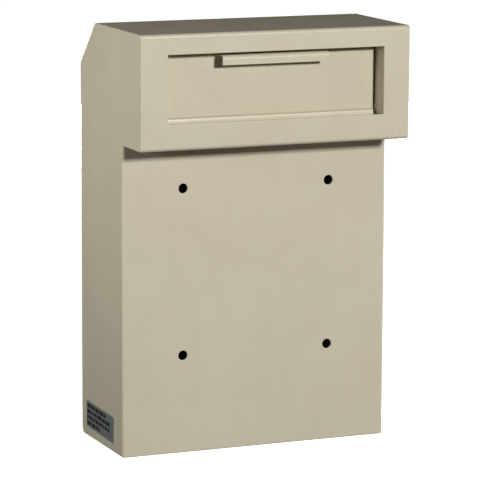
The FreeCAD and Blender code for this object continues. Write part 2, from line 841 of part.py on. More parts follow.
def make_hinge_pin():
    """Pin of the continuous hinge, with a spun head at each end."""
    body = new_body("hinge_pin")
    hinge_top = hinge_bottom + D.hinge_length
    pad(body, "XY", hinge_bottom, hinge_top, circle(hinge_x, hinge_y, D.pin_radius))
    head_circle = circle(hinge_x, hinge_y, D.pin_head_radius)
    pad(body, "XY", hinge_bottom - D.pin_head_height, hinge_bottom, head_circle)
    pad(body, "XY", hinge_top, hinge_top + D.pin_head_height, head_circle)


def make_rivets(name, across, tail):
    """Rivets along one leaf, each with a round head outside and a flat one at the tail."""
    body = new_body(name)
    leaf_top = D.box_depth + D.leaf_metal
    head_top = leaf_top + D.rivet_head_height
    sketch = new_sketch(body, "YZ", across)
    sketch.setExpression("AttachmentOffset.Base.y", rivet_heights()[0].formula)
    polygon(
        (tail - D.rivet_head_height, 0),
        (tail - D.rivet_head_height, D.rivet_head_radius),
        (tail, D.rivet_head_radius),
        (tail, D.rivet_radius),
        (leaf_top, D.rivet_radius),
        (leaf_top, D.rivet_head_radius),
        (leaf_top + D.rivet_shoulder_height, D.rivet_shoulder_radius),
        (head_top, D.rivet_crown_radius),
        (head_top, 0))(sketch)
    rivet = body.newObject("PartDesign::Revolution", f"{name}_turned")
    rivet.Profile = sketch
    rivet.ReferenceAxis = (sketch, ["H_Axis"])
    length = (D.rivet_count - 1) * D.rivet_spacing
    pattern_along_z(body, [rivet], length, DIMENSIONS["rivet_count"])


# ---------------------------------------------------------------- lock


def wedge(start, end, reach):
    """A fan of the lock's face between two angles, from its centre out past reach."""
    steps = 6
    turns = [start + (end - start) * step / steps for step in range(steps + 1)]
    return polygon((lock_x, lock_z), *[
        (lock_x + reach * cosine(turn), lock_z + reach * sine(turn)) for turn in turns])


def make_lock_strike():
    """Bridge welded behind the stop frame, which the cam turns behind."""
    body = new_body("lock_strike")
    half_height = D.cam_width + D.strike_rim
    crown = lock_back + D.strike_clearance
    leg = D.thin_metal
    near = half_opening - D.stop_overlap + 1
    far = near + D.stop_overlap + 1
    pad(body, "YZ", near, far, polygon(
        (band_inner_face, lock_z - half_height),
        (crown, lock_z - half_height),
        (crown, lock_z + half_height),
        (band_inner_face, lock_z + half_height),
        (band_inner_face, lock_z + half_height - leg),
        (crown + leg, lock_z + half_height - leg),
        (crown + leg, lock_z - half_height + leg),
        (band_inner_face, lock_z - half_height + leg)))
    fillet(body, leg, (ACROSS, [(crown, lock_z - half_height), (crown, lock_z + half_height)]))


def make_lock_body():
    """Lock housing: round head outside, flatted barrel inside, and lugs that stop the cam."""
    body = new_body("lock_body")
    bore = D.plug_radius + FINE_GAP
    lug_back = lock_back - D.lug_height
    head_front = D.box_depth + D.lock_head_height
    half_flat = D.lock_flats / 2
    reach = D.lock_barrel_radius + 1
    pad(body, "XZ", D.box_depth, head_front, circle(lock_x, lock_z, D.lock_head_radius))
    dress(body, "Chamfer", "Size", D.lock_head_height / 2, lambda shape: rims_at(shape, head_front))
    pad(body, "XZ", lock_back, D.box_depth, circle(lock_x, lock_z, D.lock_barrel_radius))
    pad(body, "XZ", lug_back, lock_back, *ring(lock_x, lock_z, bore + D.lug_inset, D.lock_barrel_radius))
    # The cam's arm sweeps from straight up round to the strike, and its edges need room.
    pocket(body, "XZ", lug_back, lock_back, wedge(
        DIMENSIONS["lug_clear_start"], DIMENSIONS["lug_clear_end"], 2 * reach))
    for side in (-1, 1):
        edges = sorted((lock_x + side * half_flat, lock_x + side * reach),
                       key=lambda place: place.value)
        pocket(body, "XZ", lug_back, D.box_depth,
               rectangle(*edges, lock_z - reach, lock_z + reach))
    pocket(body, "XZ", lug_back, head_front, circle(lock_x, lock_z, bore))


def flatted_washer(name, back, thickness, outline):
    """A washer or nut behind the door, with room for the lock's barrel."""
    body = new_body(name)
    pad(body, "XZ", back - thickness, back, outline,
        circle(lock_x, lock_z, D.lock_barrel_radius + FINE_GAP))
    return body


def make_lock_washer():
    flatted_washer("lock_washer", back_inside, D.washer_thickness,
                   circle(lock_x, lock_z, D.lock_head_radius + D.washer_rim))


def make_lock_nut():
    """Hexagon nut that clamps the lock in the door."""
    corner = D.nut_across_flats / (2 * cosine(30))
    hexagon = polygon(*[
        (lock_x + corner * cosine(turn), lock_z + corner * sine(turn))
        for turn in range(30, 390, 60)])
    flatted_washer("lock_nut", back_inside - D.washer_thickness, D.nut_thickness, hexagon)


def make_lock_plug():
    """Plug that the round key turns, with a square end that drives the cam."""
    body = new_body("lock_plug")
    front = D.box_depth + D.lock_head_height - D.plug_recess
    keyway_floor = front - D.keyway_depth
    half_drive = D.drive_square / 2
    drive_back = cam_back + 2 * FINE_GAP
    pad(body, "XZ", cam_front, front, circle(lock_x, lock_z, D.plug_radius))
    pad(body, "XZ", drive_back, cam_front,
        rectangle(lock_x - half_drive, lock_x + half_drive,
                  lock_z - half_drive, lock_z + half_drive))
    pocket(body, "XZ", keyway_floor, front,
           *ring(lock_x, lock_z, D.keyway_inner_radius, D.keyway_outer_radius))
    pocket(body, "XZ", keyway_floor, front, rectangle(
        lock_x - D.keyway_notch_half, lock_x + D.keyway_notch_half,
        lock_z + D.keyway_notch_start, lock_z + D.keyway_notch_end))
    pocket(body, "XZ", drive_back, drive_back + D.screw_length + 1,
           circle(lock_x, lock_z, D.screw_radius + FINE_GAP))


def make_lock_cam():
    """Flat cam on the plug's square end. It points up when the door is unlocked."""
    body = new_body("lock_cam")
    half_arm = D.cam_width / 2
    half_hole = D.drive_square / 2 + FINE_GAP
    tip_centre = lock_z + D.cam_reach - half_arm
    pad(body, "XZ", cam_back, cam_front, circle(lock_x, lock_z, half_arm + D.cam_hub_rim))
    pad(body, "XZ", cam_back, cam_front,
        rectangle(lock_x - half_arm, lock_x + half_arm, lock_z, tip_centre))
    pad(body, "XZ", cam_back, cam_front, circle(lock_x, tip_centre, half_arm))
    pocket(body, "XZ", cam_back - 1, cam_front + 1,
           rectangle(lock_x - half_hole, lock_x + half_hole,
                     lock_z - half_hole, lock_z + half_hole))


def make_cam_washer():
    body = new_body("cam_washer")
    pad(body, "XZ", cam_back - D.washer_thickness, cam_back,
        *ring(lock_x, lock_z, D.screw_radius + FINE_GAP, D.cam_width / 2))


def make_cam_screw():
    """Screw that holds the cam on the plug, with a slot in its head."""
    body = new_body("cam_screw")
    seat = cam_back - D.washer_thickness
    head_back = seat - D.screw_head_height
    slot_reach = D.screw_head_radius + 1
    pad(body, "XZ", seat, cam_back + D.screw_length, circle(lock_x, lock_z, D.screw_radius))
    pad(body, "XZ", head_back, seat, circle(lock_x, lock_z, D.screw_head_radius))
    pocket(body, "XZ", head_back, head_back + D.screw_slot_depth, rectangle(
        lock_x - slot_reach, lock_x + slot_reach,
        lock_z - D.screw_slot_half, lock_z + D.screw_slot_half))


# ---------------------------------------------------------------- the whole box


def make_all():
    make_front_side_wrap()
    make_hood_wrap()
    make_rear_wrap()
    make_chute_frame()
    make_upper_baffle()
    make_label_plate()
    make_hopper_rod()
    make_rod_clips()
    make_rod_bushes()
    make_flap_bumpers()
    make_hopper_flap()
    make_hopper_tray()
    cheek_inside = flap_half - D.thin_metal
    make_hopper_cheek("hopper_cheek_left", -flap_half, -cheek_inside)
    make_hopper_cheek("hopper_cheek_right", cheek_inside, flap_half)
    make_door_stop_frame()
    make_door_bumpers()
    make_rear_door()
    make_door_stiffener()
    door_knuckles = DIMENSIONS["knuckle_count"] // 2
    make_hinge_leaf("frame_hinge_leaf", -1, 0, door_knuckles + 1)
    make_hinge_leaf("door_hinge_leaf", 1, 1, door_knuckles)
    make_hinge_pin()
    make_rivets("frame_rivets", frame_rivet_x, band_outer_face)
    make_rivets("door_rivets", door_rivet_x, back_inside)
    make_lock_strike()
    make_lock_body()
    make_lock_washer()
    make_lock_nut()
    make_lock_plug()
    make_lock_cam()
    make_cam_washer()
    make_cam_screw()


def check_document():
    """Stops on a failed object, an empty or broken shape, or a pocket that cuts nothing."""
    for thing in document.Objects:
        if "Invalid" in thing.State or "Error" in thing.State:
            raise RuntimeError(f"{thing.Name} failed: {thing.State}")
        if thing.TypeId == "PartDesign::Pocket":
            if thing.Shape.Volume > thing.BaseFeature.Shape.Volume - 1e-6:
                raise RuntimeError(f"{thing.Name} cuts nothing")
    for piece in pieces:
        if piece.Shape.isNull() or not piece.Shape.isValid():
            raise RuntimeError(f"{piece.Label} has no valid shape")


def export_pieces():
    os.makedirs("parts", exist_ok=True)
    for piece in pieces:
        piece.Shape.exportStep(f"parts/{piece.Label}.step")


make_all()
document.recompute()
check_document()
export_pieces()
for piece in pieces:
    solids = len(piece.Shape.Solids)
    print(f"{piece.Label}: {solids} solid(s), {piece.Shape.Volume / 1000:.2f} cm3")
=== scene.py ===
import math
import random

import bmesh
import bpy
from mathutils import Matrix, Vector


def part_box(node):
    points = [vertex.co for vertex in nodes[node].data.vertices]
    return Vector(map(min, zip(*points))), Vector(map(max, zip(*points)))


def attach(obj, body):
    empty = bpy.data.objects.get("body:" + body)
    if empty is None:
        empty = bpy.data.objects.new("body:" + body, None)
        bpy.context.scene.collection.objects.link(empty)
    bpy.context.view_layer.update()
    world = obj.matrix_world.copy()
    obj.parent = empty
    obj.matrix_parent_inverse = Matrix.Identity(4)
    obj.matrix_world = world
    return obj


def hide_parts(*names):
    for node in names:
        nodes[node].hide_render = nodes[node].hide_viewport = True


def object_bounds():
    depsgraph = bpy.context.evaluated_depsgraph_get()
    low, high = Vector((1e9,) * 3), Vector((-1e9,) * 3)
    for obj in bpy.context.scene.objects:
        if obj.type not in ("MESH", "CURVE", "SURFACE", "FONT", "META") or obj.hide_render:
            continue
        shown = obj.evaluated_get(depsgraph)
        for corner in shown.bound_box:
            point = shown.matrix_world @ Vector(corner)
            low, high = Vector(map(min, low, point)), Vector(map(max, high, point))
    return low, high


# Looks of the parcel drop box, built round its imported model. Lengths are metres, in the
# part's own frame: X across, Y from the street side to the back, Z up, with the origin in
# the middle of the four bolt holes.

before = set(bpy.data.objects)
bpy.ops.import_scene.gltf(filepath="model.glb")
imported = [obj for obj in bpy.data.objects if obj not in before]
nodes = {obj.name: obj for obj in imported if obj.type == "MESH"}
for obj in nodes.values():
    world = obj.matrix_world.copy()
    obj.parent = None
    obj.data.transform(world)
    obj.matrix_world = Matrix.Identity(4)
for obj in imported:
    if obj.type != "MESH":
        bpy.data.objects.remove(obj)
cad_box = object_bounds()

MM = 0.001
object_low, object_high = cad_box
object_middle = (object_low + object_high) / 2


# ---------------------------------------------------------------- camera, light and floor

CAMERA_PLACE = Vector((-1.0165, -2.3856, 0.4784))
CAMERA_TURN = math.radians(-22.761)
CAMERA_TILT = math.radians(-9.927)
CAMERA_ROLL = math.radians(0.265)
CAMERA_LENS = 221.655
CAMERA_SENSOR = 36
CAMERA_NEAR = 0.1
CAMERA_FAR = 60


def make_camera():
    """Long lens, from the left of the street side and a little above."""
    data = bpy.data.cameras.new("camera")
    data.lens = CAMERA_LENS
    data.sensor_width = CAMERA_SENSOR
    data.clip_start = CAMERA_NEAR
    data.clip_end = CAMERA_FAR
    camera = bpy.data.objects.new("camera", data)
    bpy.context.scene.collection.objects.link(camera)
    turn = Matrix.Rotation(CAMERA_TURN, 4, "Z")
    tilt = Matrix.Rotation(math.pi / 2 + CAMERA_TILT, 4, "X")
    roll = Matrix.Rotation(CAMERA_ROLL, 4, "Z")
    camera.matrix_world = Matrix.Translation(CAMERA_PLACE) @ turn @ tilt @ roll
    bpy.context.scene.camera = camera


def make_light(name, azimuth, elevation, distance, width, height, brightness, glare=True):
    """Flat soft light aimed at the middle of the object.

    Azimuth 0 is the street side and 90 the right-hand side. A matt white surface facing a
    light of brightness 1 is as bright as full white. Without glare the light isn't mirrored
    in the object, which keeps a close light out of the flat roof.
    """
    turn = math.radians(azimuth)
    rise = math.radians(elevation)
    outward = Vector((math.sin(turn) * math.cos(rise),
                      -math.cos(turn) * math.cos(rise),
                      math.sin(rise)))
    data = bpy.data.lights.new(name, "AREA")
    data.shape = "RECTANGLE"
    data.size = width
    data.size_y = height
    data.energy = brightness * (math.pi * distance) ** 2
    light = bpy.data.objects.new(name, data)
    light.location = object_middle + outward * distance
    light.rotation_euler = outward.to_track_quat("Z", "Y").to_euler()
    light.visible_glossy = glare
    bpy.context.scene.collection.objects.link(light)


ROOM_COLOUR = (1.0, 0.96, 0.88, 1)
ROOM_STRENGTH = 0.046


def make_lights():
    """Key light from the street side, a fill on each side and one behind, in a dim warm room."""
    make_light("key_light", azimuth=9, elevation=18, distance=3.0,
               width=0.34, height=0.28, brightness=0.88)
    make_light("left_light", azimuth=-88, elevation=19, distance=0.8,
               width=0.5, height=0.15, brightness=0.62, glare=False)
    make_light("right_light", azimuth=84, elevation=0, distance=1.3,
               width=0.8, height=0.32, brightness=0.40)
    make_light("back_light", azimuth=164, elevation=0, distance=2.4,
               width=1.0, height=0.34, brightness=0.58)
    world = bpy.data.worlds.new("studio")
    world.use_nodes = True
    background = world.node_tree.nodes["Background"]
    background.inputs["Color"].default_value = ROOM_COLOUR
    background.inputs["Strength"].default_value = ROOM_STRENGTH
    bpy.context.scene.world = world


FLOOR_GAP = 0.2 * MM
FLOOR_RADIUS = 9.8
FLOOR_SIDES = 96
FLOOR_GREY = (0.9, 0.9, 0.9, 1)
FLOOR_GLOW = 0.97
MATT_ROUGHNESS = 0.9
MATT_SPECULAR = 0.1
BACKDROP_RADIUS = 10
BACKDROP_SPLITS = 5
BACKDROP_GLOW = 1.0
BLACK = (0, 0, 0, 1)
WHITE = (1, 1, 1, 1)


def glowing_material(name, colour, glow):
    """Matt material that glows, so that it looks evenly white whatever the light."""
    material = bpy.data.materials.new(name)
    material.use_nodes = True
    shader = material.node_tree.nodes["Principled BSDF"]
    shader.inputs["Base Color"].default_value = colour
    shader.inputs["Roughness"].default_value = MATT_ROUGHNESS
    shader.inputs["Specular IOR Level"].default_value = MATT_SPECULAR
    shader.inputs["Emission Color"].default_value = WHITE
    shader.inputs["Emission Strength"].default_value = glow
    return material


def make_stage(name, mesh, material, casts_shadow):
    """Part of the studio. It shows to the camera, but throws no light on the object."""
    data = bpy.data.meshes.new(name)
    mesh.to_mesh(data)
    mesh.free()
    data.materials.append(material)
    shown = bpy.data.objects.new(name, data)
    shown.location.z = object_low.z - FLOOR_GAP
    shown.visible_diffuse = False
    shown.visible_glossy = False
    shown.visible_shadow = casts_shadow
    bpy.context.scene.collection.objects.link(shown)


def make_floor():
    """Plain white floor, just under the object, and a dome round it as backdrop."""
    ground = bmesh.new()
    bmesh.ops.create_circle(ground, cap_ends=True, segments=FLOOR_SIDES, radius=FLOOR_RADIUS)
    make_stage("floor", ground, glowing_material("white_floor", FLOOR_GREY, FLOOR_GLOW), True)
    dome = bmesh.new()
    bmesh.ops.create_icosphere(dome, subdivisions=BACKDROP_SPLITS, radius=BACKDROP_RADIUS)
    make_stage("backdrop", dome, glowing_material("white_backdrop", BLACK, BACKDROP_GLOW), False)


# ---------------------------------------------------------------- materials

CORNER_SAMPLES = 4


class Surface:
    """A material in the making: a Principled shader and the nodes that drive it."""

    def __init__(self, name, metallic=0.0, specular=0.5):
        self.material = bpy.data.materials.new(name)
        self.material.use_nodes = True
        self.tree = self.material.node_tree
        self.shader = self.tree.nodes["Principled BSDF"]
        self.place = self.tree.nodes.new("ShaderNodeTexCoord").outputs["Object"]
        self.shader.inputs["Metallic"].default_value = metallic
        self.shader.inputs["Specular IOR Level"].default_value = specular

    def set(self, name, value):
        """Puts a uniform value on one of the shader's own sockets."""
        self.shader.inputs[name].default_value = value

    def link(self, source, target):
        self.tree.links.new(source, target)

    def noise(self, size, detail=2.0, stretch=(1, 1, 1)):
        """Soft noise from 0 to 1 whose patches are about this size; stretch makes them longer."""
        spread = self.tree.nodes.new("ShaderNodeMapping")
        spread.inputs["Scale"].default_value = [1 / (size * ratio) for ratio in stretch]
        self.link(self.place, spread.inputs["Vector"])
        texture = self.tree.nodes.new("ShaderNodeTexNoise")
        texture.inputs["Scale"].default_value = 1.0
        texture.inputs["Detail"].default_value = detail
        self.link(spread.outputs["Vector"], texture.inputs["Vector"])
        return texture.outputs["Fac"]

    def patches(self, size, detail=2.0, part=(0.3, 0.7), ends=(0.0, 1.0), stretch=(1, 1, 1)):
        """Noise with this part of its range stretched to the given ends, for clearer patches."""
        return self.span(self.noise(size, detail, stretch), *part, *ends)

    def cells(self, size):
        """Distance from the middle of the nearest cell, for stipple."""
        texture = self.tree.nodes.new("ShaderNodeTexVoronoi")
        texture.inputs["Scale"].default_value = 1 / size
        self.link(self.place, texture.inputs["Vector"])
        return texture.outputs["Distance"]

    def math(self, operation, first, second):
        """Result of one sum on two values, each a number or another node's output."""
        node = self.tree.nodes.new("ShaderNodeMath")
        node.operation = operation
        for socket, value in zip(node.inputs, (first, second)):
            if isinstance(value, (int, float)):
                socket.default_value = value
            else:
                self.link(value, socket)
        return node.outputs["Value"]

    def span(self, value, low, high, new_low=0.0, new_high=1.0):
        """The value stretched so that low to high becomes new_low to new_high, and held there."""
        node = self.tree.nodes.new("ShaderNodeMapRange")
        self.link(value, node.inputs["Value"])
        ends = {"From Min": low, "From Max": high, "To Min": new_low, "To Max": new_high}
        for name, end in ends.items():
            node.inputs[name].default_value = end
        return node.outputs["Result"]

    def blend(self, share, first, second):
        """Colour from first to second as share goes from 0 to 1."""
        node = self.tree.nodes.new("ShaderNodeMix")
        node.data_type = "RGBA"
        self.link(share, node.inputs["Factor"])
        sockets = [socket for socket in node.inputs if socket.type == "RGBA"]
        for socket, colour in zip(sockets, (first, second)):
            if isinstance(colour, tuple):
                socket.default_value = (*colour, 1)
            else:
                self.link(colour, socket)
        return next(socket for socket in node.outputs if socket.type == "RGBA")

    def colour(self, source):
        self.link(source, self.shader.inputs["Base Color"])

    def gloss(self, source):
        self.link(source, self.shader.inputs["Roughness"])

    def bumps(self, *layers):
        """Each layer is a height from 0 to 1 and its depth in metres."""
        normal = None
        for height, depth in layers:
            node = self.tree.nodes.new("ShaderNodeBump")
            node.inputs["Strength"].default_value = 1.0
            node.inputs["Distance"].default_value = depth
            self.link(height, node.inputs["Height"])
            if normal is not None:
                self.link(normal, node.inputs["Normal"])
            normal = node.outputs["Normal"]
        self.link(normal, self.shader.inputs["Normal"])

    def open_air(self, reach, low, high):
        """1 in the open, falling to 0 in corners and gaps that are narrower than reach."""
        node = self.tree.nodes.new("ShaderNodeAmbientOcclusion")
        node.samples = CORNER_SAMPLES
        node.inputs["Distance"].default_value = reach
        return self.span(node.outputs["AO"], low, high)


COAT_MIDDLE = (0.556, 0.505, 0.380)
COAT_PALE = (0.586, 0.537, 0.410)
COAT_DEEP = (0.531, 0.479, 0.353)
# Darker coat colour painted into corners and gaps: painted shade, meant also as dust.
COAT_CORNER_DUST_AND_SHADE = (0.46, 0.405, 0.285)


def powder_coat():
    """Satin beige powder coat: fine orange peel, faint clouds, and painted shade in the corners, a
    darker colour that also stands for a little dust.
    """
    coat = Surface("powder_coat", specular=0.5)
    clouds = coat.patches(90 * MM, detail=3, part=(0.35, 0.65))
    flecks = coat.math("MULTIPLY", coat.patches(1.6 * MM, detail=1), 0.45)
    shade = coat.blend(flecks, coat.blend(clouds, COAT_DEEP, COAT_MIDDLE), COAT_PALE)
    # Painted shade: corners and gaps narrower than 1.5 mm, found by the occlusion mask, take the
    # darker corner colour, standing for both shade and dust.
    coat.colour(coat.blend(coat.open_air(1.5 * MM, 0.1, 0.55), COAT_CORNER_DUST_AND_SHADE, shade))
    coat.gloss(coat.patches(25 * MM, detail=4, ends=(0.32, 0.42)))
    coat.bumps((coat.noise(1.9 * MM, detail=1.5), 0.13 * MM), (coat.noise(0.8 * MM), 0.04 * MM))
    return coat.material


def zinc_plate():
    """Zinc plated steel: pale, cloudy, with faint drawing lines."""
    zinc = Surface("zinc_plate", metallic=0.85)
    clouds = zinc.patches(9 * MM, detail=4, part=(0.35, 0.65))
    zinc.colour(zinc.blend(clouds, (0.44, 0.45, 0.46), (0.57, 0.57, 0.55)))
    zinc.gloss(zinc.patches(4 * MM, detail=5, ends=(0.48, 0.62)))
    lines = zinc.noise(0.25 * MM, stretch=(1, 1, 40))
    zinc.bumps((lines, 0.006 * MM), (zinc.noise(1.2 * MM), 0.01 * MM))
    return zinc.material


def bright_steel():
    """Drawn steel rod, with fine lines along it."""
    steel = Surface("bright_steel", metallic=1.0)
    clouds = steel.patches(14 * MM, detail=3)
    steel.colour(steel.blend(clouds, (0.50, 0.49, 0.48), (0.64, 0.63, 0.61)))
    steel.gloss(steel.patches(3 * MM, detail=4, ends=(0.20, 0.34)))
    steel.bumps((steel.noise(0.2 * MM, stretch=(60, 1, 60)), 0.005 * MM))
    return steel.material


def spring_steel():
    """Blackened spring steel."""
    steel = Surface("spring_steel", metallic=0.85)
    clouds = steel.patches(2 * MM, detail=3)
    steel.colour(steel.blend(clouds, (0.05, 0.05, 0.055), (0.11, 0.11, 0.12)))
    steel.gloss(steel.patches(1 * MM, ends=(0.38, 0.52)))
    steel.bumps((steel.noise(0.4 * MM), 0.01 * MM))
    return steel.material


def aluminium_rivet():
    """Plain aluminium rivet heads, a little smeared from setting."""
    metal = Surface("aluminium_rivet", metallic=0.9)
    smears = metal.patches(1.5 * MM, detail=4)
    metal.colour(metal.blend(smears, (0.55, 0.55, 0.56), (0.70, 0.70, 0.70)))
    metal.gloss(metal.patches(0.8 * MM, detail=3, ends=(0.42, 0.56)))
    metal.bumps((metal.noise(0.5 * MM, detail=3), 0.015 * MM))
    return metal.material


def lock_chrome():
    """Satin chrome plate with hairline rubs from the key."""
    chrome = Surface("lock_chrome", metallic=1.0)
    rubs = chrome.patches(1.2 * MM, detail=6, part=(0.45, 0.75), stretch=(6, 1, 1))
    chrome.colour(chrome.blend(rubs, (0.80, 0.80, 0.81), (0.66, 0.66, 0.67)))
    chrome.gloss(chrome.span(rubs, 0, 1, 0.24, 0.38))
    chrome.bumps((chrome.noise(6 * MM), 0.02 * MM))
    return chrome.material


def bumper_rubber():
    """Matt black moulded rubber with a dusty bloom."""
    rubber = Surface("bumper_rubber", specular=0.3)
    bloom = rubber.patches(2 * MM, detail=4, part=(0.4, 0.7))
    rubber.colour(rubber.blend(bloom, (0.018, 0.018, 0.018), (0.045, 0.043, 0.04)))
    rubber.gloss(rubber.span(bloom, 0, 1, 0.62, 0.85))
    rubber.bumps((rubber.cells(0.35 * MM), 0.02 * MM))
    return rubber.material


def nylon():
    """Natural nylon, faintly translucent, with moulding grain."""
    plastic = Surface("nylon", specular=0.45)
    tint = plastic.patches(3 * MM)
    plastic.colour(plastic.blend(tint, (0.74, 0.72, 0.64), (0.80, 0.79, 0.73)))
    plastic.gloss(plastic.patches(0.8 * MM, ends=(0.38, 0.5)))
    plastic.bumps((plastic.noise(0.5 * MM), 0.01 * MM))
    plastic.set("Subsurface Weight", 0.15)
    plastic.set("Subsurface Radius", (0.6 * MM, 0.6 * MM, 0.5 * MM))
    return plastic.material


def label_film():
    """Slate grey polyester film."""
    film = Surface("label_film", specular=0.45)
    clouds = film.patches(8 * MM, detail=4)
    film.colour(film.blend(clouds, (0.140, 0.150, 0.156), (0.188, 0.199, 0.206)))
    film.gloss(film.patches(2 * MM, detail=3, ends=(0.34, 0.5)))
    film.bumps((film.noise(5 * MM), 0.03 * MM), (film.noise(0.4 * MM), 0.004 * MM))
    return film.material


def label_ink():
    """Near-black print with slightly uneven cover."""
    ink = Surface("label_ink", specular=0.4)
    cover = ink.patches(0.8 * MM, detail=4, part=(0.35, 0.7))
    ink.colour(ink.blend(cover, (0.012, 0.014, 0.017), (0.034, 0.038, 0.042)))
    ink.gloss(ink.span(cover, 0, 1, 0.4, 0.55))
    ink.bumps((ink.noise(0.5 * MM), 0.004 * MM))
    return ink.material


def label_edge_highlight():
    """Painted highlight: a pale colour standing for the light catching the film's cut edge."""
    edge = Surface("label_edge_highlight", specular=0.5)
    highlight_patches = edge.patches(1.5 * MM, detail=3)
    # Painted highlight: the pale colour is patchy along the edge.
    edge.colour(edge.blend(highlight_patches, (0.26, 0.27, 0.28), (0.40, 0.41, 0.42)))
    edge.gloss(edge.span(highlight_patches, 0, 1, 0.35, 0.5))
    edge.bumps((edge.noise(0.6 * MM), 0.005 * MM))
    return edge.material


def make_materials():
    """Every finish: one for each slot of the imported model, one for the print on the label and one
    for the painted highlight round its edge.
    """
    return {
        "powder_coated_steel": powder_coat(),
        "zinc_plate": zinc_plate(),
        "bright_steel": bright_steel(),
        "spring_steel": spring_steel(),
        "aluminium_rivet": aluminium_rivet(),
        "lock_chrome": lock_chrome(),
        "bumper_rubber": bumper_rubber(),
        "nylon": nylon(),
        "label": label_film(),
        "label_ink": label_ink(),
        "label_edge_highlight": label_edge_highlight(),
    }


def paint_nodes():
    """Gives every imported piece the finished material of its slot."""
    for node in nodes.values():
        slot = node.material_slots[0]
        slot.material = materials[slot.material.name.split(".")[0]]


# ---------------------------------------------------------------- pieces

def add_piece(name, mesh, body, slot, finish=None, smooth=True):
    """A new mesh object that rides on a body. Its finish is its slot's, unless it has its own."""
    bmesh.ops.recalc_face_normals(mesh, faces=mesh.faces)
    data = bpy.data.meshes.new(name)
    mesh.to_mesh(data)
    mesh.free()
    data.materials.append(materials[finish or slot])
    for face in data.polygons:
        face.use_smooth = smooth
    piece = bpy.data.objects.new(name, data)
    bpy.context.scene.collection.objects.link(piece)
    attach(piece, body)
    return piece


def add_loops(mesh, loops):
    """Skins a row of loops that have the same number of points, and caps the two ends."""
    rings = [[mesh.verts.new(point) for point in loop] for loop in loops]
    count = len(rings[0])
    for near, far in zip(rings, rings[1:]):
        for index in range(count):
            after = (index + 1) % count
            mesh.faces.new((near[index], near[after], far[after], far[index]))
    mesh.faces.new(rings[0])
    mesh.faces.new(list(reversed(rings[-1])))


def add_turned(mesh, centre, axis, profile, steps):
    """Adds a closed turned shape: the profile lists (distance along the axis, radius)."""
    side = axis.orthogonal().normalized()
    across = axis.cross(side)
    loops = []
    for along, radius in profile:
        loops.append([
            centre + axis * along + (side * math.cos(turn) + across * math.sin(turn)) * radius
            for turn in (2 * math.pi * step / steps for step in range(steps))])
    add_loops(mesh, loops)


# ---------------------------------------------------------------- label print and painted edge highlight

LABEL_LENGTH = 70 * MM
LABEL_HEIGHT = 24.5 * MM
LABEL_TILT = math.radians(1.2)
LABEL_MARGIN = 2.4 * MM
PRINT_ROW_SHARES = (0.74, 0.96, 0.93, 0.50)
PRINT_ROW_HEIGHT = 3.5 * MM
PRINT_WORD_GAP = 1.6 * MM
PRINT_WORD_SHORTEST = 3.5 * MM
PRINT_WORD_LONGEST = 11 * MM
PRINT_CORNER = 0.35 * MM
PRINT_THICKNESS = 0.03 * MM
PRINT_SINK = 0.1 * MM
PRINT_SEED = 5
BORDER_WIDTH = 0.55 * MM
BORDER_CORNER = 0.2 * MM
CORNER_STEPS = 3


def label_block(mesh, left, right, bottom, top, corner):
    """Thin rounded block on the label's face, in the label's own across and up directions."""
    low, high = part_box("label_plate")
    middle = (low + high) / 2
    tilt = Matrix.Rotation(LABEL_TILT, 3, "X")
    outline = []
    for centre_y, centre_z, quarter in (
            (right - corner, top - corner, 0),
            (left + corner, top - corner, 1),
            (left + corner, bottom + corner, 2),
            (right - corner, bottom + corner, 3)):
        for step in range(CORNER_STEPS + 1):
            turn = (quarter + step / CORNER_STEPS) * math.pi / 2
            outline.append((centre_y + corner * math.cos(turn), centre_z + corner * math.sin(turn)))
    points = [tilt @ Vector((0, y, z)) for y, z in outline]
    add_loops(mesh, [
        [Vector((low.x + depth, middle.y + p.y, middle.z + p.z)) for p in points]
        for depth in (PRINT_SINK, -PRINT_THICKNESS)])


def make_label_print():
    """Rows of plain bars of uneven length, in place of words."""
    draw = random.Random(PRINT_SEED)
    half_length = LABEL_LENGTH / 2 - LABEL_MARGIN
    half_height = LABEL_HEIGHT / 2 - LABEL_MARGIN
    row_pitch = (2 * half_height - PRINT_ROW_HEIGHT) / (len(PRINT_ROW_SHARES) - 1)
    mesh = bmesh.new()
    for row, share in enumerate(PRINT_ROW_SHARES):
        middle_z = half_height - PRINT_ROW_HEIGHT / 2 - row * row_pitch
        start = half_length
        row_end = half_length - share * 2 * half_length
        while start - row_end > 2 * PRINT_WORD_GAP:
            end = max(row_end, start - draw.uniform(PRINT_WORD_SHORTEST, PRINT_WORD_LONGEST))
            label_block(mesh, end, start, middle_z - PRINT_ROW_HEIGHT / 2,
                        middle_z + PRINT_ROW_HEIGHT / 2, PRINT_CORNER)
            start = end - PRINT_WORD_GAP
    add_piece("label_print", mesh, "box", "label", "label_ink", smooth=False)


def make_painted_label_highlight():
    """Painted highlight: a pale line round the film, set in a little from its cut edge, where the
    light catches the cut.
    """
    half_length = LABEL_LENGTH / 2 - BORDER_WIDTH
    half_height = LABEL_HEIGHT / 2 - BORDER_WIDTH
    half_line = BORDER_WIDTH / 2
    mesh = bmesh.new()
    for side in (-1, 1):
        label_block(mesh, -half_length, half_length, side * half_height - half_line,
                    side * half_height + half_line, BORDER_CORNER)
        label_block(mesh, side * half_length - half_line, side * half_length + half_line,
                    BORDER_WIDTH - half_height, half_height - BORDER_WIDTH, BORDER_CORNER)
    add_piece("painted_label_highlight", mesh, "box", "label", "label_edge_highlight", smooth=False)


# ---------------------------------------------------------------- small hardware

SAME_POINT = 0.01 * MM


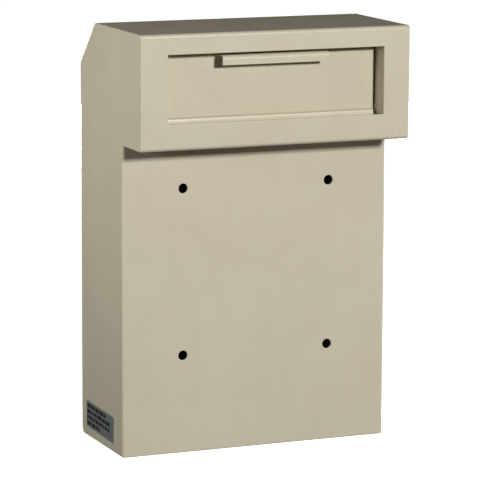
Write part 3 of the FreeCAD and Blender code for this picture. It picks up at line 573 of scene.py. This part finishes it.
def parts_of(node):
    """Middle and size of each separate solid in a node, sorted by height and then by X."""
    mesh = bmesh.new()
    mesh.from_mesh(nodes[node].data)
    bmesh.ops.remove_doubles(mesh, verts=mesh.verts, dist=SAME_POINT)
    left = set(mesh.verts)
    found = []
    while left:
        reached = [left.pop()]
        low, high = reached[0].co.copy(), reached[0].co.copy()
        while reached:
            vertex = reached.pop()
            low = Vector(map(min, low, vertex.co))
            high = Vector(map(max, high, vertex.co))
            for edge in vertex.link_edges:
                other = edge.other_vert(vertex)
                if other in left:
                    left.remove(other)
                    reached.append(other)
        found.append(((low + high) / 2, high - low))
    mesh.free()
    return sorted(found, key=lambda part: (round(part[0].z, 4), part[0].x))


BUMPER_ROUNDING = 0.6 * MM
BUMPER_ROUNDING_STEPS = 5
BUMPER_STEPS = 40
BUMPER_DIMPLE_SHARE = 0.34
# (share of the button's height, share of the dimple's radius), from the rim to the bottom
BUMPER_DIMPLE = ((1.0, 1.35), (0.9, 1.0), (0.72, 0.5))


def soft_edge(radius, height, rounding):
    """Profile of a button's straight side and rounded rim."""
    profile = [(0, radius)]
    for step in range(BUMPER_ROUNDING_STEPS + 1):
        turn = math.pi / 2 * step / BUMPER_ROUNDING_STEPS
        profile.append((height - rounding + rounding * math.sin(turn),
                        radius - rounding + rounding * math.cos(turn)))
    return profile


def make_bumpers(node, name, facing):
    """Moulded buttons with a rounded rim and a dimple, in place of a node's plain discs."""
    outward = Vector((0, facing, 0))
    mesh = bmesh.new()
    for middle, size in parts_of(node):
        radius = size.x / 2
        dimple = [(size.y * height_share, radius * BUMPER_DIMPLE_SHARE * radius_share)
                  for height_share, radius_share in BUMPER_DIMPLE]
        profile = soft_edge(radius, size.y, BUMPER_ROUNDING) + dimple
        add_turned(mesh, middle - outward * size.y / 2, outward, profile, BUMPER_STEPS)
    piece = add_piece(name, mesh, "box", "bumper_rubber")
    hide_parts(node)


RIVET_STEPS = 20
RIVET_RING_RADIUS = 0.95 * MM
RIVET_STEM_RADIUS = 0.72 * MM
# (height over the rivet's crown, radius): up the ring, down into the groove, and up the stem
RIVET_STEM_PROFILE = (
    (-0.20 * MM, RIVET_RING_RADIUS),
    (0.10 * MM, RIVET_RING_RADIUS),
    (0.13 * MM, RIVET_RING_RADIUS * 0.9),
    (0.02 * MM, RIVET_STEM_RADIUS),
    (0.08 * MM, RIVET_STEM_RADIUS * 0.9),
    (0.16 * MM, RIVET_STEM_RADIUS * 0.35),
)


def make_rivet_stems(node, name, body):
    """Broken stem in the middle of each blind rivet, inside a thin raised ring."""
    mesh = bmesh.new()
    for middle, size in parts_of(node):
        crown = middle + Vector((0, size.y / 2, 0))
        add_turned(mesh, crown, Vector((0, 1, 0)), RIVET_STEM_PROFILE, RIVET_STEPS)
    add_piece(name, mesh, body, "zinc_plate")


BARREL_RADIUS = 9.5 * MM
BARREL_HALF_FLAT = 8 * MM
THREAD_PITCH = 0.8 * MM
THREAD_HEIGHT = 0.22 * MM
THREAD_SINK = 0.1 * MM
THREAD_END_GAP = 2.4 * MM
THREAD_FOOT_SHARE = 0.46
THREAD_CREST_SHARE = 0.08
THREAD_STEPS = 24


def make_lock_threads():
    """Thread crests on the two round sides of the lock's barrel, from its inner end to the nut."""
    plug_low, plug_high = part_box("lock_plug")
    middle = (plug_low + plug_high) / 2
    first_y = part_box("lock_body")[0].y + THREAD_END_GAP
    nut_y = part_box("lock_nut")[0].y
    half_arc = math.asin(BARREL_HALF_FLAT / BARREL_RADIUS)
    foot = Vector((0, THREAD_PITCH * THREAD_FOOT_SHARE, 0))
    flat = Vector((0, THREAD_PITCH * THREAD_CREST_SHARE, 0))
    mesh = bmesh.new()
    for side in (0, math.pi):
        for ridge in range(int((nut_y - first_y) / THREAD_PITCH)):
            centre = Vector((middle.x, first_y + (ridge + 0.5) * THREAD_PITCH, middle.z))
            loops = []
            for step in range(THREAD_STEPS + 1):
                turn = side - half_arc + 2 * half_arc * step / THREAD_STEPS
                outward = Vector((math.sin(turn), 0, math.cos(turn)))
                base = centre + outward * (BARREL_RADIUS - THREAD_SINK)
                crest = centre + outward * (BARREL_RADIUS + THREAD_HEIGHT)
                loops.append([base - foot, crest - flat, crest + flat, base + foot])
            add_loops(mesh, loops)
    add_piece("lock_threads", mesh, "door", "zinc_plate", smooth=False)


# ---------------------------------------------------------------- welds

BEAD_STEPS = 8
BEAD_RIPPLE_PITCH = 1.1 * MM
BEAD_RIPPLE = 0.10
BEAD_UNEVENNESS = 0.03
BEAD_END_SHARE = 0.35
RINGS_PER_RIPPLE = 4
FEWEST_RINGS = 4


def bead(mesh, start, end, radius, draw):
    """A weld bead: a half-sunk rippled cord of metal that tapers at both ends."""
    length = (end - start).length
    count = max(FEWEST_RINGS, int(length / (BEAD_RIPPLE_PITCH / RINGS_PER_RIPPLE)))
    profile = []
    for index in range(count + 1):
        share = index / count
        distance = share * length
        taper = min(1, BEAD_END_SHARE + min(share, 1 - share) * length / (2 * radius))
        ripple = 1 + BEAD_RIPPLE * math.sin(2 * math.pi * distance / BEAD_RIPPLE_PITCH)
        wander = draw.uniform(1 - BEAD_UNEVENNESS, 1 + BEAD_UNEVENNESS)
        profile.append((distance, radius * taper * ripple * wander))
    add_turned(mesh, start, (end - start).normalized(), profile, BEAD_STEPS)


def stitches(start, end, length, gap):
    """Splits a line into weld stitches with gaps between them."""
    whole = (end - start).length
    count = max(1, int((whole + gap) // (length + gap)))
    margin = (whole - count * length - (count - 1) * gap) / 2
    along = (end - start).normalized()
    for index in range(count):
        near = start + along * (margin + index * (length + gap))
        yield near, near + along * length


FRAME_BEAD_RADIUS = 1.1 * MM
FRAME_BEAD_INSET = 2 * MM
FRAME_BEAD_MARGIN = 8 * MM
FRAME_STITCH = 18 * MM
FRAME_STITCH_GAP = 42 * MM
STRIKE_BEAD_RADIUS = 0.9 * MM
STRIKE_BEAD_MARGIN = 1 * MM
BOX_WELD_SEED = 11


def make_box_welds():
    """Stitch welds inside the box: stop frame to sides and strike to frame."""
    draw = random.Random(BOX_WELD_SEED)
    mesh = bmesh.new()
    low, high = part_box("door_stop_frame")
    for x in (low.x, high.x):
        foot = Vector((x, high.y - FRAME_BEAD_INSET, low.z + FRAME_BEAD_MARGIN))
        head = Vector((x, high.y - FRAME_BEAD_INSET, high.z - FRAME_BEAD_MARGIN))
        for near, far in stitches(foot, head, FRAME_STITCH, FRAME_STITCH_GAP):
            bead(mesh, near, far, FRAME_BEAD_RADIUS, draw)
    low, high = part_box("lock_strike")
    for z in (low.z, high.z):
        left = Vector((low.x + STRIKE_BEAD_MARGIN, high.y, z))
        right = Vector((high.x - STRIKE_BEAD_MARGIN, high.y, z))
        bead(mesh, left, right, STRIKE_BEAD_RADIUS, draw)
    add_piece("box_welds", mesh, "box", "powder_coated_steel")


TRAY_SLOPE = math.radians(30)
TRAY_METAL = 1.5 * MM
TRAY_BEAD_RADIUS = 0.9 * MM
TRAY_BEADS_START = 7 * MM
TRAY_BEADS_END = 71 * MM
TRAY_STITCH = 11 * MM
TRAY_STITCH_GAP = 13 * MM
HOPPER_WELD_SEED = 12


def make_hopper_welds():
    """Stitch welds along the two edges of the tray's upper face, where it meets the cheeks."""
    draw = random.Random(HOPPER_WELD_SEED)
    mesh = bmesh.new()
    low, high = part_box("hopper_tray")
    tip_z = low.z + TRAY_METAL * math.cos(TRAY_SLOPE)
    for x in (low.x, high.x):
        start, end = (
            Vector((x, high.y - reach * math.cos(TRAY_SLOPE), tip_z + reach * math.sin(TRAY_SLOPE)))
            for reach in (TRAY_BEADS_START, TRAY_BEADS_END))
        for near, far in stitches(start, end, TRAY_STITCH, TRAY_STITCH_GAP):
            bead(mesh, near, far, TRAY_BEAD_RADIUS, draw)
    add_piece("hopper_welds", mesh, "hopper", "powder_coated_steel")


SPOT_STEPS = 28
SPOTS_IN_ROW = 6
SPOT_EDGE_GAP = 5 * MM
SPOT_END_GAP = 12 * MM
STIFFENER_METAL = 1.5 * MM
SPOT_RADIUS = 2.6 * MM
SPOT_RISE = 0.35 * MM
# (height over the sheet, radius) of a shallow dished ring
SPOT_PROFILE = (
    (-0.1 * MM, SPOT_RADIUS),
    (SPOT_RISE * 0.6, SPOT_RADIUS * 0.95),
    (SPOT_RISE, SPOT_RADIUS * 0.82),
    (SPOT_RISE * 0.55, SPOT_RADIUS * 0.6),
    (0.02 * MM, SPOT_RADIUS * 0.25),
)


def make_spot_welds():
    """Two rows of resistance weld marks, one on each foot of the door's stiffener."""
    low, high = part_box("door_stiffener")
    face_y = high.y - STIFFENER_METAL
    inward = Vector((0, -1, 0))
    mesh = bmesh.new()
    for side in (-1, 1):
        x = side * ((high.x - low.x) / 2 - SPOT_EDGE_GAP) + (low.x + high.x) / 2
        foot = Vector((x, face_y, low.z + SPOT_END_GAP))
        head = Vector((x, face_y, high.z - SPOT_END_GAP))
        for index in range(SPOTS_IN_ROW):
            centre = foot.lerp(head, index / (SPOTS_IN_ROW - 1))
            add_turned(mesh, centre, inward, SPOT_PROFILE, SPOT_STEPS)
    add_piece("stiffener_spots", mesh, "door", "powder_coated_steel")


# ---------------------------------------------------------------- build

make_camera()
materials = make_materials()
paint_nodes()
make_label_print()
make_painted_label_highlight()
make_bumpers("door_bumpers", "moulded_door_bumpers", 1)
make_bumpers("flap_bumpers", "moulded_flap_bumpers", -1)
make_rivet_stems("frame_rivets", "frame_rivet_stems", "box")
make_rivet_stems("door_rivets", "door_rivet_stems", "door")
make_lock_threads()
make_box_welds()
make_hopper_welds()
make_spot_welds()
make_lights()
make_floor()
bpy.context.scene.view_settings.view_transform = "Standard"
